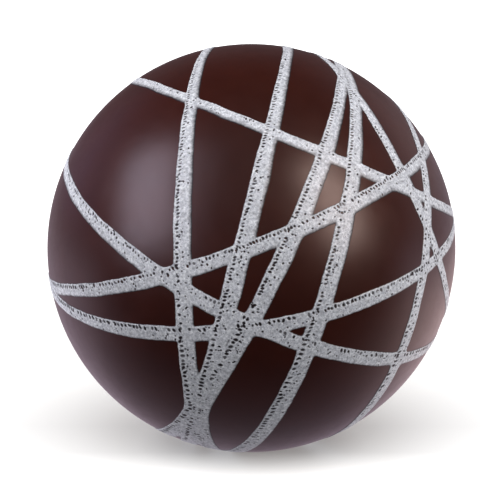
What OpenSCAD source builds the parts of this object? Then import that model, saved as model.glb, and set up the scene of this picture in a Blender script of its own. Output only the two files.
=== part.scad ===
// A croquet ball: a solid core in a cover of two moulded cups, with ten lines of white enamel
// trailed around the cover. The origin is the ball's centre and +Z is up as the ball rests.
// Each line follows a circle on the ball, given by the direction of its pole (azimuth from +X
// towards +Y, then elevation) and by the angle between the pole and the line.

/* [Ball] */
// Diameter over the enamel
ball_d = 92; // [70:0.5:110]
// Wall of the cover
cover_wall = 8; // [6:0.5:12]
// Height of the step where one cup laps over the other
lap_height = 3; // [2:0.5:5]

/* [Enamel] */
// Thickness of the enamel on the cover
enamel_t = 0.15; // [0.1:0.05:0.4]
// Width of the four upright lines
upright_w = 3.6; // [2.4:0.1:4.4]
// Width of the three lines that run from side to side
cross_w = 3.1; // [2:0.1:4]
// Width of the three lines at the top and the right
side_w = 3.4; // [1.6:0.1:4]

/* [Upright lines: pole azimuth, pole elevation, angle from the pole] */
// Upright line left of the middle
meridian_left_at = [172, -2.5, 79.5]; // [-180:0.5:180]
// Upright line through the middle
meridian_middle_at = [178, 14, 86]; // [-180:0.5:180]
// Upright line right of the middle, leaning over at the bottom
meridian_right_at = [-176.5, 26.5, 89]; // [-180:0.5:180]
// Upright line from the top right to the bottom middle
meridian_far_right_at = [11, -18, 81.5]; // [-180:0.5:180]

/* [Crossing lines: pole azimuth, pole elevation, angle from the pole] */
// Line that falls from left to right
falling_at = [165.5, -64, 91]; // [-180:0.5:180]
// Line that rises from left to right
rising_at = [172.5, 70, 78.5]; // [-180:0.5:180]
// Line that sags between the left and the right
level_at = [40.5, -79, 90]; // [-180:0.5:180]

/* [Top and side lines: pole azimuth, pole elevation, angle from the pole] */
// Line across the top
crown_at = [32, 63, 57.5]; // [-180:0.5:180]
// Line down the upper right
cheek_upper_at = [17, 23, 46]; // [-180:0.5:180]
// Line down the right side
cheek_lower_at = [23.5, -15, 60.5]; // [-180:0.5:180]

/* [Hidden] */
$fn = 96;

core_colour = "#8a6242";
cover_colour = "#35160f";
enamel_colour = "#d5d9e2";

ball_r = ball_d / 2;
cover_r = ball_r - enamel_t;
core_r = cover_r - cover_wall;
lap_r = (core_r + cover_r) / 2;
// Reach of the shapes that cut through the whole ball
reach = 2 * ball_r;
// Least angle between a line and its pole
least_angle = 15;

// The lines in the order they are trailed: where each runs, and its width
LINES = [
    [meridian_left_at, upright_w],
    [meridian_middle_at, upright_w],
    [meridian_right_at, upright_w],
    [meridian_far_right_at, upright_w],
    [falling_at, cross_w],
    [rising_at, cross_w],
    [level_at, cross_w],
    [crown_at, side_w],
    [cheek_upper_at, side_w],
    [cheek_lower_at, side_w]
];

// Angle between a line and its pole, kept clear of both poles
function angle_of(place) = min(180 - least_angle, max(least_angle, abs(place[2])));

// Section between two radii
module annulus(inner_r, outer_r) {
    difference() {
        circle(r = outer_r);
        circle(r = inner_r);
    }
}

// Puts the local Z axis along a line's pole
module along_pole(place) {
    rotate([0, 90 - place[1], place[0]])
        children();
}

// The whole ring of enamel of one line, between two planes square to its pole
module ring(place, width) {
    angle = angle_of(place);
    height = width * sin(angle);
    along_pole(place)
        rotate_extrude()
            intersection() {
                annulus(cover_r, ball_r);
                translate([0, ball_r * cos(angle) - height / 2])
                    square([reach, height]);
            }
}

// A disc through the whole ball that takes away all that lies in a line's ring
module ring_cutter(place, width) {
    angle = angle_of(place);
    along_pole(place)
        translate([0, 0, ball_r * cos(angle)])
            cylinder(h = width * sin(angle), r = reach, center = true);
}

// A trailed line. It fuses with the lines trailed before it, so it stops at their edges
module trailed_line(number) {
    color(enamel_colour)
        difference() {
            ring(LINES[number][0], LINES[number][1]);
            for (earlier = [0:1:number - 1])
                ring_cutter(LINES[earlier][0], LINES[earlier][1]);
        }
}

// A cup of the cover. side is 1 for the upper cup, whose edge laps outside, and -1 for the lower
module cup(side) {
    color(cover_colour)
        rotate_extrude()
            intersection() {
                annulus(core_r, cover_r);
                polygon([
                    [0, lap_height / 2],
                    [lap_r, lap_height / 2],
                    [lap_r, -lap_height / 2],
                    [reach, -lap_height / 2],
                    [reach, side * reach],
                    [0, side * reach]
                ]);
            }
}

module core() {
    color(core_colour)
        sphere(r = core_r);
}

module shell_lower() {
    cup(-1);
}

module shell_upper() {
    cup(1);
}

module thread_meridian_left() {
    trailed_line(0);
}

module thread_meridian_middle() {
    trailed_line(1);
}

module thread_meridian_right() {
    trailed_line(2);
}

module thread_meridian_far_right() {
    trailed_line(3);
}

module thread_falling() {
    trailed_line(4);
}

module thread_rising() {
    trailed_line(5);
}

module thread_level() {
    trailed_line(6);
}

module thread_crown() {
    trailed_line(7);
}

module thread_cheek_upper() {
    trailed_line(8);
}

module thread_cheek_lower() {
    trailed_line(9);
}

core();
shell_lower();
shell_upper();
thread_meridian_left();
thread_meridian_middle();
thread_meridian_right();
thread_meridian_far_right();
thread_falling();
thread_rising();
thread_level();
thread_crown();
thread_cheek_upper();
thread_cheek_lower();
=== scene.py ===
"""The looks of a croquet ball: a satin brown cover with ten trailed lines of white enamel.

Lengths are in millimetres until a mesh is made, and points on the ball are unit vectors from
its centre. Where each line runs is read from the ring that the frame holds for it.
"""

import math

import bpy
import numpy as np
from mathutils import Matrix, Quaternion, Vector


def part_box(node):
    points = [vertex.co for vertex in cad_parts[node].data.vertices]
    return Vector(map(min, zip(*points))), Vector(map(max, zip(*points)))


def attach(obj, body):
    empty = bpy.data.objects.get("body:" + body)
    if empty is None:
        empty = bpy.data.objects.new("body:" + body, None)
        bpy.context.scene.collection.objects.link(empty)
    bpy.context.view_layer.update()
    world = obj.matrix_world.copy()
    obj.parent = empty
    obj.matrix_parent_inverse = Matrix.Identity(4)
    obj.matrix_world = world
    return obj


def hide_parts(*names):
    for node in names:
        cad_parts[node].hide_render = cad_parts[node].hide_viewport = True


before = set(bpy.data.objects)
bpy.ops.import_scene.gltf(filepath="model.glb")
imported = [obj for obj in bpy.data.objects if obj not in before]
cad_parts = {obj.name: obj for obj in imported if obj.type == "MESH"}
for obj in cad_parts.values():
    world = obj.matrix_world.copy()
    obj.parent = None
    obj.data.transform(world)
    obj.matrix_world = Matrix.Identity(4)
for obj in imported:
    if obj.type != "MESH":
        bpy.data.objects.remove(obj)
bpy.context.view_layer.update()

MM = 0.001
BODY = "root"
SEED = 20

THREADS = sorted(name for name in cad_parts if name.startswith("thread_"))
COVER_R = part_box("shell_upper")[1].z / MM
CORE_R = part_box("core")[1].z / MM
LAP_HALF = -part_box("shell_upper")[0].z / MM
LAP_R = (CORE_R + COVER_R) / 2


def node_points(name):
    """The corners of a CAD node's mesh, in millimetres."""
    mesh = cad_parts[name].data
    points = np.empty(len(mesh.vertices) * 3, dtype=np.float32)
    mesh.vertices.foreach_get("co", points)
    return points.reshape(-1, 3).astype(float) / MM


BALL_R = max(np.linalg.norm(node_points(name), axis=1).max() for name in THREADS)
FILM = BALL_R - COVER_R


# --- Small helpers ---------------------------------------------------------------------------


def smoothstep(low, high, value):
    """0 at low, 1 at high, and smooth between. low may be the larger one."""
    t = np.clip((value - low) / (high - low), 0.0, 1.0)
    return t * t * (3.0 - 2.0 * t)


def blend(first, second, share):
    """The value this share of the way from first to second."""
    return first + (second - first) * share


def unit(vectors):
    """The same directions with a length of 1."""
    return vectors / np.linalg.norm(vectors, axis=-1, keepdims=True)


class Ripple:
    """Smooth seeded noise on the ball, mostly within -1 to 1, with waves about one size long."""

    WAVES = 14
    SIZES = (0.7, 1.5)
    LOUDNESS = 1.6

    def __init__(self, rng, size):
        heading = unit(rng.normal(size=(self.WAVES, 3)))
        pitch = 2 * math.pi * BALL_R / (size * rng.uniform(*self.SIZES, self.WAVES))
        self.pull = heading * pitch[:, None]
        self.phase = rng.uniform(0, 2 * math.pi, self.WAVES)

    def __call__(self, points):
        total = np.zeros(points.shape[:-1])
        for pull, phase in zip(self.pull, self.phase):
            total += np.sin(points @ pull + phase)
        return total * self.LOUDNESS / math.sqrt(self.WAVES)


def make_piece(name, points, faces, material):
    """A piece of the ball, smooth all over, that rides on the ball's only body. faces is a list of
    arrays, each with one row of corners per face."""
    corners = np.concatenate([part.ravel() for part in faces]).astype(np.int32)
    sizes = np.concatenate([np.full(len(part), part.shape[1]) for part in faces])
    starts = np.concatenate([[0], np.cumsum(sizes)[:-1]]).astype(np.int32)
    mesh = bpy.data.meshes.new(name)
    mesh.vertices.add(len(points))
    mesh.vertices.foreach_set("co", (points * MM).astype(np.float32).ravel())
    mesh.loops.add(len(corners))
    mesh.loops.foreach_set("vertex_index", corners)
    mesh.polygons.add(len(sizes))
    mesh.polygons.foreach_set("loop_start", starts)
    mesh.update(calc_edges=True)
    mesh.shade_smooth()
    mesh.materials.append(material)
    piece = bpy.data.objects.new(name, mesh)
    bpy.context.scene.collection.objects.link(piece)
    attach(piece, BODY)
    return piece


def lay_flat(piece, spots):
    """Gives the piece a flat map: spots holds a place in the unit square for each face corner."""
    layer = piece.data.uv_layers.new(name="OFBake")
    layer.uv.foreach_set("vector", np.asarray(spots, dtype=np.float32).ravel())


# --- The trailed lines -----------------------------------------------------------------------

# How wide the lines are over the top of the ball and lower down, as shares of their nominal width
WIDTH_TOP, WIDTH_LOW = 0.37, 1.03
# The angle from the top where they come to their full width, the least share of it that counts,
# and the power by which they widen on the way
FULL_WIDTH_AT = math.radians(72)
LEAST_SWELL, WIDENING = 0.2, 0.88
# How much of its width a line loses at the ball's left and right sides, and between which places
# along X it does so
SIDE_LOSS = 0.24
SIDE_FROM, SIDE_TO = 0.5, 0.95
# How far the enamel creeps round the corners where lines run together, and how much more low down
CORNER, CORNER_LOW = 0.22, 0.42
# How far the enamel's wall runs in on the sharp edge, and on the feathered edge low down and high up
SHARP_RUN, SOFT_RUN_LOW, SOFT_RUN = 0.26, 0.65, 1.40
# The heights on the ball, in radii, between which the corners and the feathered edge change
CORNER_HEIGHTS, SOFT_HEIGHTS = (-0.2, -0.55), (-0.1, 0.6)
# How much farther the enamel reaches on the edge with the bubbles and on the feathered edge, and
# where in a line's half width one edge gives way to the other
BUBBLE_SWELL, SOFT_SWELL = 0.08, 0.10
EDGE_BLEND = 0.4
# The sizes of the ripples that move the outline, and how far each moves it
WANDER_SIZE, WAVER_SIZE, FRAY_SIZE = 9.0, 1.9, 0.55
WANDER, WAVER, FRAY = 0.06, 0.015, 0.02
# The size of the lumps, and how much of the enamel's thickness they and the dip at the outline take
LUMP_SIZE = 1.2
LUMP_DEPTH, RIM_DIP = 0.12, 0.06
# How far under the cover's surface the top of the enamel's mesh goes where no enamel shows, and
# how far from the foot of the enamel's wall it starts and ends to go down
SINK = 0.05
SINK_RUN = (-0.10, 0.12)
# How steep a pole is whose line lies level, and how much of a ring's height counts as its edge
LEVEL_POLE = 0.7
RING_EDGE = 0.05
# A distance from the outline beyond which it no longer matters
FAR = 8.0
# Lines that are narrower than their nominal width, as a share of it
WIDTH_SHARE = {"thread_crown": 0.79, "thread_cheek_upper": 0.92}
# How much of the row of bubbles a line has, where it isn't all of it
ROW_SHARE = {
    "thread_crown": 0.15,
    "thread_cheek_upper": 0.45,
    "thread_cheek_lower": 0.6,
    "thread_falling": 0.6,
}


class Line:
    """A circle on the ball: its pole, the angle from the pole, and the line's nominal width. The
    pole is the direction in which the two edges of the CAD ring have no spread."""

    def __init__(self, name):
        self.name = name
        points = node_points(name)
        points = points[np.linalg.norm(points, axis=1) > BALL_R - FILM / 2]
        edges = [points]
        for _ in range(3):
            spread = np.vstack([edge - edge.mean(axis=0) for edge in edges])
            self.pole = np.linalg.svd(spread, full_matrices=False)[2][2]
            height = points @ self.pole
            low, high = height.min(), height.max()
            near = RING_EDGE * (high - low)
            edges = [points[height > high - near], points[height < low + near]]
        if high + low < 0:
            self.pole = -self.pole
        self.angle = math.acos(abs(high + low) / 2 / BALL_R)
        self.width = (high - low) / math.sin(self.angle) * WIDTH_SHARE.get(name, 1.0)
        toward_viewer = np.array([0.0, -1.0, 0.0])
        self.start = unit(toward_viewer - (toward_viewer @ self.pole) * self.pole)
        self.side = np.cross(self.pole, self.start)
        # The bubbles are in the upper edge of a line that lies level, and in the edge that faces
        # -X of the others: +1 if that's the edge farther from the pole
        lies_level = abs(self.pole[2]) > LEVEL_POLE
        farther = self.pole[2] < 0 if lies_level else self.pole[0] > 0
        self.bubble_edge = 1.0 if farther else -1.0
        self.girth = 2 * math.pi * BALL_R * math.sin(self.angle)
        self.row_share = ROW_SHARE.get(name, 1.0)

    def point(self, turn, across):
        """The point at this turn round the line and this far across it, away from the pole."""
        turn, across = np.broadcast_arrays(turn, across)
        polar = self.angle + across / BALL_R
        ring = np.cos(turn)[..., None] * self.start + np.sin(turn)[..., None] * self.side
        return np.cos(polar)[..., None] * self.pole + np.sin(polar)[..., None] * ring

    def across(self, points):
        """How far each point is across the line, away from the pole."""
        return BALL_R * (np.arccos(np.clip(points @ self.pole, -1.0, 1.0)) - self.angle)

    def turn(self, points):
        """How far round the line each point is, from -pi to pi."""
        return np.arctan2(points @ self.side, points @ self.start)

    def half_width(self, points):
        """Half the line's width at each point: it is narrower over the top and at the sides."""
        polar = np.arccos(np.clip(points[..., 2], -1.0, 1.0))
        swell = np.clip(polar / FULL_WIDTH_AT, LEAST_SWELL, 1.0) ** WIDENING
        aside = smoothstep(SIDE_FROM, SIDE_TO, np.abs(points[..., 0]))
        share = blend(WIDTH_TOP, WIDTH_LOW, swell) * (1 - SIDE_LOSS * aside)
        return self.width / 2 * share

    def headings(self, points, slant):
        """A direction on the ball at each point, turned by slant from straight across the line."""
        along = unit(np.cross(self.pole, points))
        outward = np.cross(along, points)
        return np.cos(slant)[:, None] * outward + np.sin(slant)[:, None] * along


class Web:
    """How far any point on the ball lies inside the enamel, and how thick the enamel is there."""

    def __init__(self, rng):
        self.lines = [Line(name) for name in THREADS]
        self.wander = Ripple(rng, WANDER_SIZE)
        self.waver = Ripple(rng, WAVER_SIZE)
        self.fray = Ripple(rng, FRAY_SIZE)
        self.lumps = Ripple(rng, LUMP_SIZE)

    def field(self, points):
        """The distance outside the web with rounded corners, each line's own distance outside it,
        and how sharp the nearest edge is: 1 on the side with bubbles and 0 on the feathered side."""
        shift = WANDER * self.wander(points)
        ragged = WAVER * self.waver(points) + FRAY * self.fray(points)
        outside, sharp = [], []
        for line in self.lines:
            across = line.across(points) + shift
            half = line.half_width(points)
            keen = smoothstep(-EDGE_BLEND, EDGE_BLEND, across / half * line.bubble_edge)
            extra = blend(SOFT_SWELL, BUBBLE_SWELL, keen)
            outside.append(np.abs(across) - half - extra + ragged)
            sharp.append(keen)
        outside = np.stack(outside)
        corner = CORNER + CORNER_LOW * smoothstep(*CORNER_HEIGHTS, points[..., 2])
        weight = np.exp(-np.clip(outside, -FAR, FAR) / corner)
        total = weight.sum(axis=0)
        return -corner * np.log(total), outside, (weight * np.stack(sharp)).sum(axis=0) / total

    def film(self, points, distance, sharp):
        """The enamel's height over the cover without its bubbles: below 0 outside the outline."""
        soft_run = blend(SOFT_RUN_LOW, SOFT_RUN, smoothstep(*SOFT_HEIGHTS, points[..., 2]))
        run = blend(SHARP_RUN, soft_run, 1 - sharp)
        body = smoothstep(0.5, -0.5, distance / run)
        uneven = 1.0 - LUMP_DEPTH * (0.5 - 0.5 * self.lumps(points))
        sunk = SINK * smoothstep(*SINK_RUN, distance - run / 2)
        return FILM * (body * uneven - RIM_DIP * (1 - body)) - sunk


# --- Bubbles ---------------------------------------------------------------------------------

# How far apart the bubbles in a row are, high up and low down, and how much that varies
ROW_GAP, ROW_GAP_LOW = 0.82, 1.20
ROW_GAP_RANGE = (0.75, 1.25)
# How far in from the edge a row lies, as a share of the line's half width, and its deviation
ROW_INSET = (0.42, 0.06)
# The turn of a row's bubbles from straight across the line, and its deviation
ROW_SLANT = (0.35, 0.3)
# The longer and the shorter radius of a row's bubbles, the share of each that they have at the top
# of the ball, and how much both grow low down
ROW_LONG, ROW_SHORT = (0.30, 0.46), (0.21, 0.32)
ROW_LONG_TOP, ROW_SHORT_TOP = 1.1, 0.65
ROW_GROWTH = 0.35
# The heights on the ball, in radii, between which a row's bubbles change at the top and low down
ROW_TOP, ROW_LOW = (0.9, 0.2), (0.2, -0.4)
# How far inside the outline a row's bubbles stay, where the enamel has pooled too much for a row,
# and the shares of a row that are lost there and lost below the top
ROW_CLEAR = 0.45
ROW_POOLED = (-1.15, -1.6)
ROW_LOST_POOLED, ROW_LOST = 0.85, 0.12
# Scattered bubbles tried on each square millimetre of a line, how far out they reach as a share of
# the line's width, and how far inside the outline they stay
SCATTER, SCATTER_REACH = 1.2, 0.62
SCATTER_CLEAR = 0.15
# The heights between which they thin out, in radii, and the share that is lost high up
SCATTER_HEIGHTS, SCATTER_LOST = (0.1, 0.6), 0.5
# How far inside the outline, and at which heights, the enamel counts as pooled for them
POOLED, POOLED_HEIGHTS = (-1.3, -2.6), (0.75, 0.0)
# The shorter radius of large and small scattered bubbles, and how much longer the other one is
LARGE_RADIUS, SMALL_RADIUS = (0.15, 0.24), (0.07, 0.13)
STRETCH = (1.0, 1.5)
# The share of large ones, what is added to it where the enamel has pooled, and how much they grow
LARGE_SHARE, LARGE_SHARE_POOLED = 0.28, 0.20
POOLED_GROWTH = 0.5
# How deep bubbles are: 1 goes down to the film at their bottom, and more makes a flat bottom
ROW_DEPTH, LARGE_DEPTH, SMALL_DEPTH = (0.7, 1.3), (0.7, 1.2), (0.3, 0.9)
# Where a bubble's wall begins and ends, and where its lip is and how wide, in its own radii
WALL_FROM, WALL_TO = 1.15, 0.75
LIP_AT, LIP_WIDTH = 1.4, 0.3
# How far beyond a line's mesh a bubble's middle may be and still reach into it
BUBBLE_REACH = 0.6
# How much farther off than the nearest line a line may be and still count as the nearest
TIE = 0.02


class Bubbles:
    """Open bubbles in the enamel: where each is, which way it stretches, its two radii and its
    depth."""

    def __init__(self, web, rng):
        self.web = web
        self.rng = rng
        found = []
        for line in web.lines:
            found.append(self.edge_row(line))
            found.append(self.scatter(line))
        self.point, self.stretch, self.long, self.short, self.depth = (
            np.concatenate(parts) for parts in zip(*found)
        )

    def row_turns(self, line):
        """The turns of the bubbles in a line's row, which are farther apart low down."""
        turns, turn = [], 0.0
        while turn < 2 * math.pi:
            low = smoothstep(*ROW_LOW, line.point(turn, 0.0)[2])
            turns.append(turn)
            gap = blend(ROW_GAP, ROW_GAP_LOW, low) * self.rng.uniform(*ROW_GAP_RANGE)
            turn += gap * 2 * math.pi / line.girth
        return np.array(turns)

    def edge_row(self, line):
        """The row of stretched bubbles inside one edge of a line, like the rungs of a ladder."""
        rng = self.rng
        turn = self.row_turns(line)
        count = len(turn)
        half = line.half_width(line.point(turn, 0.0))
        inset = half * rng.normal(*ROW_INSET, count)
        points = line.point(turn, line.bubble_edge * (half - inset))
        swell = smoothstep(*ROW_TOP, points[:, 2])
        distance = self.web.field(points)[0]
        pooled = smoothstep(*ROW_POOLED, distance)
        chance = line.row_share * (1 - ROW_LOST * swell) * (1 - ROW_LOST_POOLED * pooled)
        keep = (distance < -ROW_CLEAR) & (rng.random(count) < chance)
        growth = 1 + ROW_GROWTH * smoothstep(*ROW_LOW, points[:, 2])
        long = rng.uniform(*ROW_LONG, count) * blend(ROW_LONG_TOP, 1, swell) * growth
        short = rng.uniform(*ROW_SHORT, count) * blend(ROW_SHORT_TOP, 1, swell) * growth
        stretch = line.headings(points, rng.normal(*ROW_SLANT, count))
        depth = rng.uniform(*ROW_DEPTH, count)
        return [part[keep] for part in (points, stretch, long, short, depth)]

    def scatter(self, line):
        """Open bubbles all over a line: mostly small, and larger where the enamel has pooled."""
        rng = self.rng
        count = int(line.girth * line.width * SCATTER)
        turn = rng.uniform(0, 2 * math.pi, count)
        points = line.point(turn, rng.uniform(-SCATTER_REACH, SCATTER_REACH, count) * line.width)
        distance, outside, _ = self.web.field(points)
        nearest = outside[self.web.lines.index(line)] < outside.min(axis=0) + TIE
        high = smoothstep(*SCATTER_HEIGHTS, points[:, 2])
        wanted = rng.random(count) < 1 - SCATTER_LOST * high
        keep = (distance < -SCATTER_CLEAR) & nearest & wanted
        pooled = smoothstep(*POOLED, distance) * smoothstep(*POOLED_HEIGHTS, points[:, 2])
        large = rng.random(count) < LARGE_SHARE + LARGE_SHARE_POOLED * pooled
        large_radius = rng.uniform(*LARGE_RADIUS, count)
        small_radius = rng.uniform(*SMALL_RADIUS, count)
        short = np.where(large, large_radius, small_radius)
        short *= 1 + POOLED_GROWTH * pooled * rng.random(count)
        long = short * rng.uniform(*STRETCH, count)
        large_depth = rng.uniform(*LARGE_DEPTH, count)
        small_depth = rng.uniform(*SMALL_DEPTH, count)
        depth = np.where(large, large_depth, small_depth)
        stretch = line.headings(points, rng.uniform(0, math.pi, count))
        return [part[keep] for part in (points, stretch, long, short, depth)]

    def carve(self, line, turn, across):
        """How deep bubbles go at each point of a line's grid, from 0 to 1, and the low lip round
        each of them. turn holds one value per column of the grid and across one per point."""
        columns = len(turn)
        pace = 2 * math.pi / columns
        depth, lip = np.zeros(across.shape), np.zeros(across.shape)
        where = line.across(self.point)
        lowest, highest = across.min() - BUBBLE_REACH, across.max() + BUBBLE_REACH
        near = np.flatnonzero((where > lowest) & (where < highest))
        at_turn = line.turn(self.point[near])
        square_on = line.headings(self.point[near], np.zeros(len(near)))
        along = line.headings(self.point[near], np.full(len(near), math.pi / 2))
        cosine = (self.stretch[near] * square_on).sum(axis=1)
        sine = (self.stretch[near] * along).sum(axis=1)
        for k, index in enumerate(near):
            long, short = self.long[index], self.short[index]
            radius = BALL_R * math.sin(line.angle + where[index] / BALL_R)
            reach = math.ceil(2 * long / radius / pace) + 1
            middle = round((at_turn[k] - turn[0]) / pace)
            picked = np.arange(middle - reach, middle + reach + 1) % columns
            side = (turn[picked] - at_turn[k] + math.pi) % (2 * math.pi) - math.pi
            x = (side * radius)[:, None]
            y = across[picked] - where[index]
            ahead, aside = y * cosine[k] + x * sine[k], x * cosine[k] - y * sine[k]
            q = np.hypot(ahead / long, aside / short)
            hole = self.depth[index] * smoothstep(WALL_FROM, WALL_TO, q)
            raised = np.exp(-(((q - LIP_AT) / LIP_WIDTH) ** 2))
            depth[picked] = np.maximum(depth[picked], hole)
            lip[picked] = np.maximum(lip[picked], raised)
        return np.minimum(depth, 1.0), lip


# --- The lines' meshes -------------------------------------------------------------------------

# The length of a mesh cell along a line, and the most triangles in one line's mesh
CELL = 0.12
MAX_TRIANGLES = 196000
# The rows of points on a line's underside, and how far under the cover's surface they lie
UNDER_ROWS = 3
UNDERSIDE = 0.10
# How far under the cover's surface the top's two long edges lie
EDGE_SINK = 1.5 * SINK
# The dark film left at the bottom of a bubble, whose dark colour is painted shade, the height of its
# lip, and how much lower the film lies inside a line to leave room for the lips, all as shares of
# the enamel's thickness
HOLE_FILM = 0.06
LIP_HEIGHT, LIP_ROOM = 0.15, 0.09
# How far inside the outline the lips are at full height, and how deep in a bubble its lip is gone
LIP_FULL_AT, LIP_GONE_AT = 0.3, 0.3
# How far neighbouring lines' meshes lie over each other, and how far apart they lie in height
OVERLAP = 0.30
LAYER = 0.0012
# The farthest that a line's mesh can reach across it, the least, and the room beyond the enamel
REACH, LEAST_REACH, ROOM = 6.5, 0.4, 0.15
# The places across a line at which its reach is tried, and how far outside the outline still counts
TRIALS = 131
OUTSIDE = 0.1
# One column of a line's mesh in so many has its reach worked out
COARSE = 4
# In a line's flat map, how wide the band lies as a share of the line's width, and the margin
LAID_WIDTH = 1.4
STRIP_MARGIN = 0.004


def wrapped(values, steps):
    """Stretches values given round a circle to another number of steps."""
    at = np.arange(steps) * len(values) / steps
    return np.interp(at, np.arange(len(values) + 1), np.append(values, values[0]))


def spread_of(web, line, turn):
    """How far to either side the line's mesh has to reach at each turn."""
    across = np.linspace(-REACH, REACH, TRIALS)
    points = line.point(turn[:, None], across[None, :])
    distance, outside, _ = web.field(points)
    shown = distance < SOFT_RUN / 2 + OUTSIDE
    shown &= outside[web.lines.index(line)] < outside.min(axis=0) + OVERLAP
    shown |= np.abs(across)[None, :] < LEAST_REACH
    low = np.where(shown, across, REACH).min(axis=1) - ROOM
    high = np.where(shown, across, -REACH).max(axis=1) + ROOM
    for _ in range(2):
        low = np.minimum(low, np.minimum(np.roll(low, 1), np.roll(low, -1)))
        high = np.maximum(high, np.maximum(np.roll(high, 1), np.roll(high, -1)))
    for _ in range(2):
        low = (np.roll(low, 1) + 2 * low + np.roll(low, -1)) / 4
        high = (np.roll(high, 1) + 2 * high + np.roll(high, -1)) / 4
    return low, high


def trail(web, bubbles, line, number, material):
    """One trailed line as a closed band. Its top follows the enamel and goes under the cover at
    the outline, so that the cover shows round it. A bubble keeps a thin film at its bottom."""
    columns = COARSE * int(line.girth / CELL / COARSE)
    rows = MAX_TRIANGLES // (2 * columns) - UNDER_ROWS
    turn = np.arange(columns) * 2 * math.pi / columns - math.pi
    low, high = (wrapped(side, columns) for side in spread_of(web, line, turn[::COARSE]))
    across = low[:, None] + (high - low)[:, None] * np.linspace(0.0, 1.0, rows)
    points = line.point(turn[:, None], across)
    distance, outside, sharp = web.field(points)
    film = web.film(points, distance, sharp)
    hole, lip = bubbles.carve(line, turn, across)
    inside = smoothstep(0.0, -LIP_FULL_AT, distance)
    raised = LIP_HEIGHT * lip * (1 - smoothstep(0.0, LIP_GONE_AT, hole))
    film += FILM * (raised - LIP_ROOM) * inside
    film += (HOLE_FILM * FILM - film) * hole
    ahead = outside[web.lines.index(line)] - outside.min(axis=0)
    covered = smoothstep(OVERLAP / 2, OVERLAP, ahead)
    film = film * (1 - covered) - SINK * covered - LAYER * number
    film = np.clip(film, -EDGE_SINK, FILM)
    film[:, 0] = film[:, -1] = -EDGE_SINK
    top = points * (COVER_R + film)[..., None]
    below = low[:, None] + (high - low)[:, None] * np.linspace(1.0, 0.0, UNDER_ROWS)
    under = line.point(turn[:, None], below) * (COVER_R - UNDERSIDE)
    loop = np.concatenate([top, under], axis=1)
    return band_piece(line, loop, material)


def band_piece(line, loop, material):
    """Joins closed sections, one per column, into a ring with its own flat map."""
    columns, section = loop.shape[:2]
    column, corner = np.meshgrid(np.arange(columns), np.arange(section), indexing="ij")
    following, next_corner = (column + 1) % columns, (corner + 1) % section
    quads = np.stack(
        [
            column * section + corner,
            column * section + next_corner,
            following * section + next_corner,
            following * section + corner,
        ],
        axis=-1,
    )
    name = line.name.replace("thread_", "enamel_")
    piece = make_piece(name, loop.reshape(-1, 3), [quads.reshape(-1, 4)], material)
    lay_flat(piece, strips(column, corner, section, line))
    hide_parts(line.name)
    return piece


def strips(column, corner, section, line):
    """A flat map for a band's faces: the band is cut into strips laid one above the other."""
    columns = column.shape[0]
    count = max(2, round(math.sqrt(line.girth / (LAID_WIDTH * line.width))))
    length = math.ceil(columns / count)
    strip, place = column // length, column % length
    inner = 1 - 2 * STRIP_MARGIN
    u0 = STRIP_MARGIN + inner * place / length
    u1 = STRIP_MARGIN + inner * (place + 1) / length
    edge = STRIP_MARGIN * count
    room = 1 - 2 * edge
    v0 = (strip + edge + room * corner / section) / count
    v1 = (strip + edge + room * (corner + 1) / section) / count
    return np.stack([u0, v0, u0, v1, u1, v1, u1, v0], axis=-1)


# --- The cover -----------------------------------------------------------------------------------

# The points round a cup, and its rows of points from the edge to the pole, outside and inside
AROUND = 480
SKIN_ROWS, BORE_ROWS = 150, 40
# An edge of a cup that turns by more than this shows as a sharp one
SHARP_ANGLE = math.radians(35)
# In a cup's flat map, the share of the height that is skin, and the gap between skin and inside
SKIN_SHARE, MAP_GAP = 0.86, 0.01


def turned_grid(rows, first, last):
    """The faces between rows first to last of points turned about the Z axis."""
    row, step = np.meshgrid(np.arange(first, last), np.arange(AROUND), indexing="ij")
    above, following = (row + 1) % rows, (step + 1) % AROUND
    return np.stack(
        [
            row * AROUND + step,
            row * AROUND + following,
            above * AROUND + following,
            above * AROUND + step,
        ],
        axis=-1,
    ).reshape(-1, 4)


def pole_fan(row, pole, inside_out):
    """The triangles between a row of turned points and a single point on the axis."""
    step = np.arange(AROUND)
    following = (step + 1) % AROUND
    ends = [row * AROUND + step, row * AROUND + following]
    if inside_out:
        ends.reverse()
    return np.stack([*ends, np.full(AROUND, pole)], axis=-1)


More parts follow.
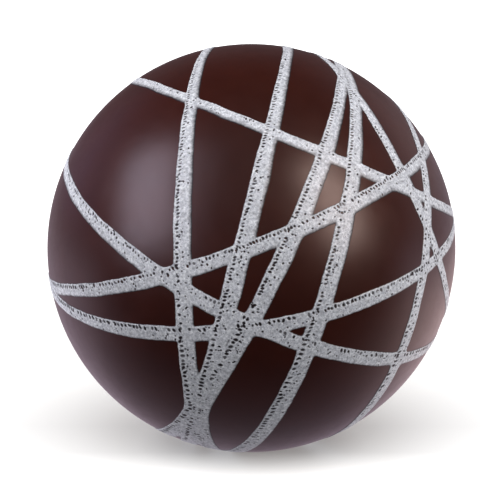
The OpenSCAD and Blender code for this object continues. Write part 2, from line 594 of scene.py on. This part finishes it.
def cup(name, node, side, material):
    """Half of the cover, turned about the Z axis: its skin, its inside, and the step at the edge
    where the two cups lap. side is 1 for the upper cup and -1 for the lower one."""
    skin = np.linspace(math.asin(-LAP_HALF / COVER_R), side * math.pi / 2, SKIN_ROWS + 1)[:-1]
    bore = np.linspace(side * math.pi / 2, math.asin(LAP_HALF / CORE_R), BORE_ROWS + 1)[1:]
    profile = [(COVER_R * math.cos(angle), COVER_R * math.sin(angle)) for angle in skin]
    profile += [(CORE_R * math.cos(angle), CORE_R * math.sin(angle)) for angle in bore]
    profile += [(LAP_R, LAP_HALF), (LAP_R, -LAP_HALF)]
    radius, height = np.array(profile).T
    rows = len(profile)
    turn = np.arange(AROUND) * 2 * math.pi / AROUND
    ring = np.stack([np.cos(turn), np.sin(turn)], axis=-1)
    points = np.empty((rows, AROUND, 3))
    points[..., :2] = radius[:, None, None] * ring
    points[..., 2] = height[:, None]
    poles = [[0.0, 0.0, side * COVER_R], [0.0, 0.0, side * CORE_R]]
    outer_pole = rows * AROUND
    faces = [
        turned_grid(rows, 0, SKIN_ROWS - 1),
        turned_grid(rows, SKIN_ROWS, rows),
        pole_fan(SKIN_ROWS - 1, outer_pole, False),
        pole_fan(SKIN_ROWS, outer_pole + 1, True),
    ]
    if side < 0:
        faces = [part[:, ::-1] for part in faces]
    piece = make_piece(name, np.vstack([points.reshape(-1, 3), poles]), faces, material)
    piece.data.set_sharp_from_angle(angle=SHARP_ANGLE)
    lay_flat(piece, cup_map(rows, side))
    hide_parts(node)
    return piece


def cup_map(rows, side):
    """A flat map for a cup's faces, in the order that cup() makes them: u goes round the ball, and
    most of v is the skin."""
    skin = np.linspace(0.0, SKIN_SHARE, SKIN_ROWS + 2)[:-1]
    inner = np.linspace(SKIN_SHARE + MAP_GAP, 1 - MAP_GAP, rows - SKIN_ROWS + 2)[1:]
    u = np.arange(AROUND + 1) / AROUND
    u0, u1 = u[:-1], u[1:]
    middle = (u0 + u1) / 2
    spots = []
    for low, high in [*zip(skin[:-2], skin[1:-1]), *zip(inner[:-1], inner[1:])]:
        spots.append(corner_table([(u0, low), (u1, low), (u1, high), (u0, high)], side))
    skin_pole = [(u0, skin[-2]), (u1, skin[-2]), (middle, skin[-1])]
    inner_pole = [(u1, inner[0]), (u0, inner[0]), (middle, inner[0] - MAP_GAP / 2)]
    spots += [corner_table(skin_pole, side), corner_table(inner_pole, side)]
    return np.concatenate([part.ravel() for part in spots])


def corner_table(corners, side):
    """One row per face of the corners' places in the map, turned round for the lower cup."""
    if side < 0:
        corners = corners[::-1]
    flat = []
    for u, v in corners:
        flat += [u, np.full(AROUND, v)]
    return np.stack(flat, axis=-1)


# --- Materials -----------------------------------------------------------------------------------


class Nodes:
    """A node tree that is built up in code."""

    def __init__(self, tree):
        self.tree = tree

    def add(self, kind, inputs=None, **settings):
        """A node with these settings. Each input is a plain value or another node's output."""
        node = self.tree.nodes.new(kind)
        for key, value in settings.items():
            setattr(node, key, value)
        for key, value in (inputs or {}).items():
            if isinstance(value, bpy.types.NodeSocket):
                self.tree.links.new(value, node.inputs[key])
            else:
                node.inputs[key].default_value = value
        return node

    def spread(self, value, low, high, to_low=0.0, to_high=1.0):
        """Carries low..high of a value to to_low..to_high, and holds it there outside."""
        inputs = {"Value": value, "From Min": low, "From Max": high}
        inputs.update({"To Min": to_low, "To Max": to_high})
        return self.add("ShaderNodeMapRange", inputs).outputs[0]

    def mix(self, factor, first, second, blend="MIX"):
        """Two colours mixed, each a plain colour or another node's output."""
        node = self.add("ShaderNodeMix", data_type="RGBA", blend_type=blend)
        sockets = (node.inputs[0], node.inputs[6], node.inputs[7])
        for socket, value in zip(sockets, (factor, first, second)):
            if isinstance(value, bpy.types.NodeSocket):
                self.tree.links.new(value, socket)
            elif isinstance(value, tuple):
                socket.default_value = (*value, 1.0)
            else:
                socket.default_value = value
        return node.outputs[2]

    def parts(self, vector):
        """A vector's x, y and z."""
        return self.add("ShaderNodeSeparateXYZ", {0: vector}).outputs

    def length(self, vector):
        """A vector's length."""
        return self.add("ShaderNodeVectorMath", {0: vector}, operation="LENGTH").outputs["Value"]

    def combine(self, operation, first, second):
        """Two numbers put together by one of the math node's operations."""
        return self.add("ShaderNodeMath", {0: first, 1: second}, operation=operation).outputs[0]


class Shader(Nodes):
    """A procedural material, laid out in the ball's own space in metres."""

    def __init__(self, name):
        self.material = bpy.data.materials.new(name)
        self.material.use_nodes = True
        super().__init__(self.material.node_tree)
        self.place = self.add("ShaderNodeTexCoord").outputs["Object"]

    def noise(self, size, detail=2.0, rough=0.5):
        """Noise whose blobs are about size millimetres across."""
        inputs = {"Vector": self.place, "Scale": 1 / (size * MM)}
        inputs.update({"Detail": detail, "Roughness": rough})
        return self.add("ShaderNodeTexNoise", inputs).outputs[0]

    def finish(self, colour, roughness, bump, strength, depth):
        """Joins the colour, the roughness and a bump of so many millimetres to the surface."""
        inputs = {"Height": bump, "Strength": strength, "Distance": depth * MM}
        bumped = self.add("ShaderNodeBump", inputs).outputs["Normal"]
        surface = self.tree.nodes["Principled BSDF"]
        self.tree.links.new(colour, surface.inputs["Base Color"])
        self.tree.links.new(roughness, surface.inputs["Roughness"])
        self.tree.links.new(bumped, surface.inputs["Normal"])
        return self.material


def enamel_material():
    """Bluish white enamel with fine grit. Where the film is thin, the dark cover shows through; that
    thin film's colour is darker than the cover, as painted shade in the bubbles and along the
    feathered edges.
    """
    shader = Shader("enamel_white")
    radius = shader.length(shader.place)
    thin, full = COVER_R + 0.10 * FILM, COVER_R + 0.85 * FILM
    thick = shader.spread(radius, thin * MM, full * MM)
    blotch = shader.spread(shader.noise(3.5), 0.35, 0.65)
    grit = shader.noise(0.50, detail=3.0, rough=0.7)
    speck = shader.spread(grit, 0.34, 0.66)
    pale = shader.mix(blotch, (0.80, 0.81, 0.85), (0.86, 0.87, 0.91))
    gritty = shader.mix(speck, (0.55, 0.56, 0.59), (1.16, 1.16, 1.14))
    white = shader.mix(1.0, pale, gritty, blend="MULTIPLY")
    # Painted shade: the thin film is darker and bluer than the cover, for the dark bubble holes and
    # the dark line at feathered edges
    colour = shader.mix(thick, (0.016, 0.010, 0.013), white)
    roughness = shader.spread(grit, 0.3, 0.7, 0.38, 0.55)
    return shader.finish(colour, roughness, grit, 0.35, 0.03)


def cover_material():
    """Dark brown plastic with a satin skin: faint mottling, fine pebbling and a cloudy gloss."""
    shader = Shader("cover_brown")
    mottle = shader.spread(shader.noise(7.0, detail=4.0), 0.3, 0.7)
    pebble = shader.noise(0.55, detail=3.0)
    colour = shader.mix(mottle, (0.037, 0.0048, 0.0017), (0.045, 0.0066, 0.0026))
    roughness = shader.spread(shader.noise(2.5, detail=5.0, rough=0.65), 0.3, 0.7, 0.31, 0.37)
    return shader.finish(colour, roughness, pebble, 0.12, 0.02)


def core_material():
    """Cork and rubber crumbs pressed together."""
    shader = Shader("core_cork")
    inputs = {"Vector": shader.place, "Scale": 1 / (1.8 * MM), "Randomness": 1.0}
    crumbs = shader.add("ShaderNodeTexVoronoi", inputs)
    grain = shader.noise(0.5, detail=3.0)
    kind = shader.add("ShaderNodeSeparateColor", {0: crumbs.outputs["Color"]}).outputs[0]
    cork = shader.mix(grain, (0.34, 0.19, 0.09), (0.52, 0.33, 0.18))
    rubber = shader.spread(kind, 0.70, 0.74)
    colour = shader.mix(rubber, cork, (0.035, 0.030, 0.028))
    roughness = shader.spread(grain, 0.3, 0.7, 0.72, 0.90)
    return shader.finish(colour, roughness, crumbs.outputs["Distance"], 0.6, 0.15)


# --- Stage ---------------------------------------------------------------------------------------

# How far the camera is from the ball's centre, how high above it, and how wide its sensor is
CAMERA_DISTANCE = 800.0
CAMERA_ELEVATION = math.radians(15)
SENSOR = 36.0
# The ball's diameter as a share of the picture's width
FILL = 0.819
# How far the picture's middle lies right of the ball's and above it, as shares of the width
SHIFT_X, SHIFT_Y = -0.0028, -0.0042
# The floor's radius and the corners of its rim
FLOOR_R = 3000.0
FLOOR_CORNERS = 128
# The power of a lamp with a glow of 1, in watts for each square metre of its face
LAMP_POWER = 4


def floor_mirrored(shader):
    """The glow of the floor that the ball's skin mirrors, painted to place reflections on it: dark
    in front and brighter behind, brightest a little to the right, and dim again far off at the back
    and the left."""
    x, y, _ = shader.parts(shader.place)
    behind = shader.spread(y, -80 * MM, 5 * MM)
    near = shader.spread(x, 250 * MM, 120 * MM)
    to_right = shader.spread(x, 25 * MM, 75 * MM, 0.0, near)
    bright = shader.mix(to_right, (0.75, 0.62, 0.76), (1.48, 1.12, 1.14))
    far_back = shader.spread(y, 40 * MM, 250 * MM)
    bright = shader.mix(far_back, bright, (0.42, 0.36, 0.42))
    far_left = shader.spread(x, -280 * MM, -520 * MM)
    bright = shader.mix(far_left, bright, (0.25, 0.20, 0.25))
    return shader.mix(shader.combine("POWER", behind, 2.0), (0.01, 0.008, 0.01), bright)


def floor_seen(shader):
    """The floor as the camera sees it: lit by its own lamp, which makes the shadow, and glowing. The
    glow
    paints the shadow too: it is less near the ball, with painted shade at the contact point, and
    more in front of the ball and behind it, as painted light that keeps the shadow small, and full
    far off."""
    y = shader.parts(shader.place)[1]
    # Painted shade round the ball: the glow is low near it, so that the lamp's shadow shows, and
    # full far off
    far = shader.spread(shader.length(shader.place), 120 * MM, 450 * MM)
    glow = shader.mix(far, (0.34, 0.332, 0.325), (0.9, 0.9, 0.9))
    inputs = {0: shader.place, 1: (1.0, 1.0, 0.0)}
    flat = shader.add("ShaderNodeVectorMath", inputs, operation="MULTIPLY").outputs[0]
    # Painted contact shadow: the glow is weaker close to the contact point
    contact = shader.spread(shader.length(flat), 26 * MM, 15 * MM, 1.0, 0.68)
    # Painted light: more glow in front of the ball and behind it, which keeps the shadow small
    front = shader.spread(y, -7 * MM, -24 * MM, 0.0, 0.85)
    back = shader.spread(y, 12 * MM, 45 * MM, contact, 1.6)
    inputs = {"Color": glow, "Strength": shader.combine("ADD", front, back)}
    glowing = shader.add("ShaderNodeEmission", inputs).outputs[0]
    lit = shader.add("ShaderNodeBsdfDiffuse", {"Color": (0.5, 0.5, 0.5, 1.0)}).outputs[0]
    return shader.add("ShaderNodeAddShader", {0: glowing, 1: lit}).outputs[0]


def stage_floor():
    """A round white floor under the ball. The camera, the ball's skin and soft light each get
    their own look of it."""
    turn = np.arange(FLOOR_CORNERS) * 2 * math.pi / FLOOR_CORNERS
    rim = [(FLOOR_R * MM * math.cos(a), FLOOR_R * MM * math.sin(a), -BALL_R * MM) for a in turn]
    mesh = bpy.data.meshes.new("floor")
    mesh.from_pydata(rim, [], [list(range(FLOOR_CORNERS))])
    floor = bpy.data.objects.new("floor", mesh)
    bpy.context.scene.collection.objects.link(floor)
    shader = Shader("floor_white")
    path = shader.add("ShaderNodeLightPath").outputs
    # Painted light: to the ball's rays the floor glows instead of being lit, with painted
    # reflections for the skin and an even grey glow as bounce light
    glow = shader.mix(path["Is Diffuse Ray"], floor_mirrored(shader), (0.23, 0.23, 0.24))
    unseen = shader.add("ShaderNodeEmission", {"Color": glow}).outputs[0]
    inputs = {0: path["Is Camera Ray"], 1: unseen, 2: floor_seen(shader)}
    both = shader.add("ShaderNodeMixShader", inputs).outputs[0]
    shader.tree.links.new(both, shader.tree.nodes["Material Output"].inputs["Surface"])
    mesh.materials.append(shader.material)
    return floor


def stage_world():
    """Soft surroundings. The ball mirrors pale panels behind it at the left and the right, and
    little else. To the camera they are white, and to soft light an even grey."""
    world = bpy.data.worlds.new("studio")
    bpy.context.scene.world = world
    world.use_nodes = True
    sky = Nodes(world.node_tree)
    toward = sky.add("ShaderNodeTexCoord").outputs["Generated"]
    x, y, z = sky.parts(toward)
    left = sky.spread(x, -0.35, -0.9)
    right = sky.spread(x, 0.22, 0.82)
    behind = sky.spread(y, 0.10, 0.7)
    high = sky.spread(z, 0.35, 0.85)
    around = sky.mix(left, (0.15, 0.12, 0.13), (0.60, 0.47, 0.70))
    around = sky.mix(right, around, (0.80, 0.63, 0.67))
    around = sky.mix(behind, (0.01, 0.005, 0.008), around)
    around = sky.mix(high, around, (0.02, 0.01, 0.01))
    path = sky.add("ShaderNodeLightPath").outputs
    around = sky.mix(path["Is Diffuse Ray"], around, (0.31, 0.31, 0.32))
    around = sky.mix(path["Is Camera Ray"], around, (1.1, 1.1, 1.1))
    sky.tree.links.new(around, sky.tree.nodes["Background"].inputs["Color"])


def softbox(name, azimuth, elevation, distance, size, glow, tint, lights, roll=0):
    """A soft rectangular lamp that faces the ball, out of the camera's sight. lights says what it
    does: it "shines" as a highlight only, or "fills" with light but leaves no highlight. roll
    turns it in its own plane."""
    data = bpy.data.lights.new(name, "AREA")
    data.shape = "RECTANGLE"
    data.size, data.size_y = size[0] * MM, size[1] * MM
    data.energy = glow * data.size * data.size_y * LAMP_POWER
    data.color = tint
    azimuth, elevation = math.radians(azimuth), math.radians(elevation)
    flat = math.cos(elevation)
    away = Vector((flat * math.cos(azimuth), flat * math.sin(azimuth), math.sin(elevation)))
    lamp = bpy.data.objects.new(name, data)
    lamp.location = away * distance * MM
    turned = Quaternion((0.0, 0.0, 1.0), math.radians(roll))
    lamp.rotation_euler = (away.to_track_quat("Z", "Y") @ turned).to_euler()
    lamp.visible_camera = False
    lamp.visible_glossy = lights == "shines"
    lamp.visible_diffuse = lights == "fills"
    bpy.context.scene.collection.objects.link(lamp)
    return lamp


def stage_lamps(floor):
    """The ball's lamps, which the floor neither catches nor blocks, and a lamp that lights only
    the floor and casts the ball's shadow there."""
    lamps = [
        softbox("key_box", -161, 30, 600, (310, 500), 3.4, (0.88, 0.81, 0.99), "shines", roll=36),
        softbox("key_halo", -150, 32, 600, (480, 700), 0.65, (0.88, 0.86, 1.05), "shines", roll=20),
        softbox("warm_box", -35, 32, 600, (225, 480), 6.4, (1.0, 0.79, 0.70), "shines"),
        softbox("key_fill", -106, 46, 900, (700, 900), 1.03, (1.0, 1.0, 1.03), "fills"),
        softbox("top_fill", -90, 84, 900, (1000, 1000), 1.3, (1.0, 1.0, 1.03), "fills"),
        softbox("left_fill", 138, -10, 900, (700, 900), 3.7, (0.96, 0.97, 1.05), "fills"),
        softbox("right_fill", 15, -10, 900, (700, 900), 1.85, (1.0, 1.0, 1.0), "fills"),
    ]
    ball_only = bpy.data.collections.new("not_the_floor")
    ball_only.objects.link(floor)
    ball_only.collection_objects[0].light_linking.link_state = "EXCLUDE"
    for lamp in lamps:
        lamp.light_linking.receiver_collection = ball_only
        lamp.light_linking.blocker_collection = ball_only
    floor_only = bpy.data.collections.new("only_the_floor")
    floor_only.objects.link(floor)
    floor_lamp = softbox("floor_fill", -90, 49, 900, (1200, 1200), 4.6, (1.0, 1.0, 1.0), "fills")
    floor_lamp.light_linking.receiver_collection = floor_only


def stage_camera():
    """A long lens in front of the ball, looking a little down on it."""
    data = bpy.data.cameras.new("camera")
    data.sensor_width = SENSOR
    data.lens = SENSOR * FILL / 2 / math.tan(math.asin(BALL_R / CAMERA_DISTANCE))
    data.shift_x, data.shift_y = SHIFT_X, SHIFT_Y
    back = Vector((0.0, -math.cos(CAMERA_ELEVATION), math.sin(CAMERA_ELEVATION)))
    camera = bpy.data.objects.new("camera", data)
    camera.location = back * CAMERA_DISTANCE * MM
    camera.rotation_euler = back.to_track_quat("Z", "Y").to_euler()
    bpy.context.scene.collection.objects.link(camera)
    bpy.context.scene.camera = camera


# --- Building it ---------------------------------------------------------------------------------


def dress_core():
    """The core keeps its CAD mesh, in cork and rubber."""
    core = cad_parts["core"]
    core.data.materials.clear()
    core.data.materials.append(core_material())


rng = np.random.default_rng(SEED)
web = Web(rng)
bubbles = Bubbles(web, rng)
enamel = enamel_material()
for number, line in enumerate(web.lines):
    trail(web, bubbles, line, number, enamel)
cover = cover_material()
cup("cover_upper", "shell_upper", 1, cover)
cup("cover_lower", "shell_lower", -1, cover)
dress_core()

stage_world()
stage_lamps(stage_floor())
stage_camera()
bpy.context.scene.view_settings.view_transform = "Standard"
